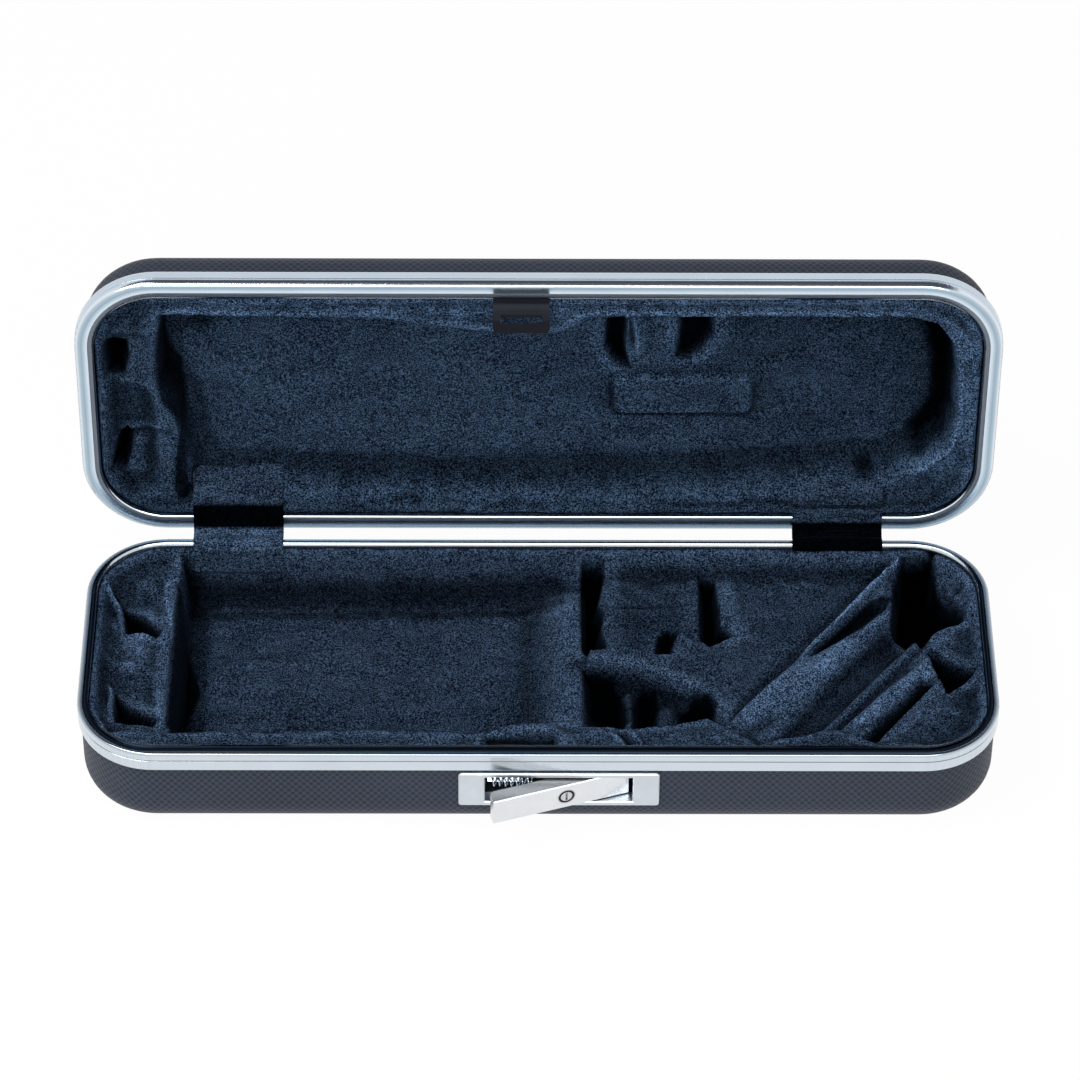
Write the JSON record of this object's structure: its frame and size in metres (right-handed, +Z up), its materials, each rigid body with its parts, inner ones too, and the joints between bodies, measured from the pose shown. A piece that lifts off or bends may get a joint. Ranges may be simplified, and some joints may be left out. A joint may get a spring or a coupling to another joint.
{
  "type": "oboe case",
  "caption": "Slim hard case for an oboe with metal rims, a velvet lining with fitted hollows, a hinged lid and a flush front latch with a lock.",
  "frame": {"origin": "centre of the flat underside of the base", "axes": "+X along the case to the right, +Y from the latch to the hinges, +Z up"},
  "size_m": [0.3056, 0.1445, 0.1421],
  "materials": {
    "shell": "fine diamond grain, satin",
    "rim": "satin anodised extrusion",
    "seal": "matt",
    "foam": "moulded foam",
    "velvet": "short pile velvet",
    "bezel": "satin, bevelled edge",
    "housing": "moulded",
    "steel": "plated",
    "lever": "satin die casting",
    "lock": "turned face",
    "bolt": "bright plated",
    "striker": "semi-gloss black",
    "splice": "dark satin",
    "rivet": "plain"
  },
  "bodies": {
    "base": {"base_shell": "shell", "base_rim": "rim", "base_foam": "foam", "base_velvet": "velvet", "hinge_strap_left": "velvet", "hinge_strap_right": "velvet", "latch_bezel": "bezel", "latch_housing": "housing", "latch_screws": "steel", "lever_pin": "steel", "base_hinge_leaf_left": "steel", "base_hinge_leaf_right": "steel", "hinge_pin_left": "steel", "hinge_pin_right": "steel", "base_hinge_rivets": "rivet"},
    "lid": {"lid_shell": "shell", "lid_rim": "rim", "lid_seal": "seal", "lid_foam": "foam", "lid_velvet": "velvet", "striker": "striker", "striker_rivets": "striker", "lid_hinge_leaf_left": "steel", "lid_hinge_leaf_right": "steel", "lid_hinge_rivets": "rivet", "rim_splice": "splice"},
    "lever": {"latch_lever": "lever"},
    "lock": {"lock_cylinder": "lock"},
    "bolt": {"latch_bolt": "bolt"}
  },
  "joints": [
    {"name": "lid_hinge", "type": "hinge", "parent": "base", "child": "lid", "pos_m": [0, 0.0536, 0.036], "axis": [1, 0, 0], "range_deg": [0, 93], "deforming": ["hinge_strap_left", "hinge_strap_right"]},
    {"name": "lever_turn", "type": "hinge", "parent": "base", "child": "lever", "pos_m": [0.01745, -0.0492, 0.0205], "axis": [0, 0, 1], "range_deg": [-17.9, 0]},
    {"name": "lock_turn", "type": "hinge", "parent": "lever", "child": "lock", "pos_m": [0.00841, -0.05212, 0.0205], "axis": [0.3074, -0.9516, 0], "range_deg": [0, 90]},
    {"name": "bolt_slide", "type": "slide", "parent": "base", "child": "bolt", "axis": [0, -1, 0], "range_m": [0, 0.0034]}
  ],
  "couplings": [
    {"joint": "bolt_slide", "follows": "lever_turn", "m_per_rad": -0.010883}
  ]
}
